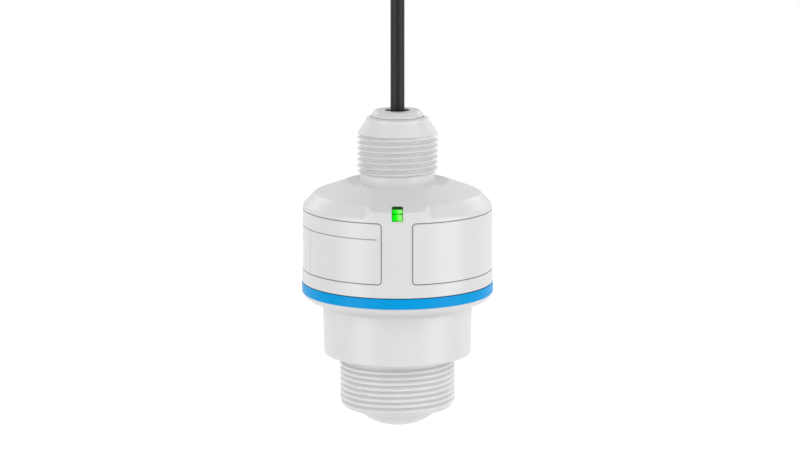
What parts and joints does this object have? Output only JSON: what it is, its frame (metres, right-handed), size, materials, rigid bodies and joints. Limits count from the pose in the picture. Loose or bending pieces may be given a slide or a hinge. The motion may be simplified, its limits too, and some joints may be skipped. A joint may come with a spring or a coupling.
{
  "type": "radar level transmitter",
  "caption": "Compact radar level transmitter: threaded lens end, round light-grey housing with a blue ring and green status light, threaded neck and a straight black cable to a small gland.",
  "frame": {"origin": "centre of the face that seals against the tank's connection", "axes": "+Z along the axis, from the lens to the cable; the status light faces -Y"},
  "size_m": [0.0784, 0.0784, 0.2085],
  "materials": {
    "housing_plastic": "satin",
    "accent_blue": "satin",
    "guide_green": "clear, lit",
    "black_rubber": "matt",
    "cable_black": "satin",
    "tie_nylon": "matt",
    "core_brown": "gloss",
    "core_blue": "gloss",
    "tinned_metal": "bright",
    "terminal_green": "satin",
    "black_plastic": "matt",
    "horn_aluminium": "turned",
    "board_green": "solder mask",
    "ferrite": "matt",
    "led_white": "clear",
    "gland_polyamide": "satin"
  },
  "bodies": {
    "root": {"lower_housing": "housing_plastic", "upper_housing": "housing_plastic", "gland_ring": "housing_plastic", "accent_ring": "accent_blue", "housing_seal": "black_rubber", "light_guide": "guide_green", "cable_seal": "black_rubber", "cable": "cable_black", "cable_tie": "tie_nylon", "core_wire_brown": "core_brown", "core_wire_blue": "core_blue", "ferrule_brown": "tinned_metal", "ferrule_blue": "tinned_metal", "terminal_block": "terminal_green", "carrier": "black_plastic", "antenna_horn": "horn_aluminium", "radar_board": "board_green", "power_board": "board_green", "board_header": "black_plastic", "radar_chip": "black_plastic", "shield_can": "tinned_metal", "radio_module": "tinned_metal", "inductor": "ferrite", "capacitor_front": "horn_aluminium", "capacitor_rear": "horn_aluminium", "status_led": "led_white", "box_gland_nut": "gland_polyamide", "box_gland_bush": "black_rubber", "box_gland_body": "gland_polyamide", "box_gland_locknut": "gland_polyamide"}
  },
  "joints": []
}
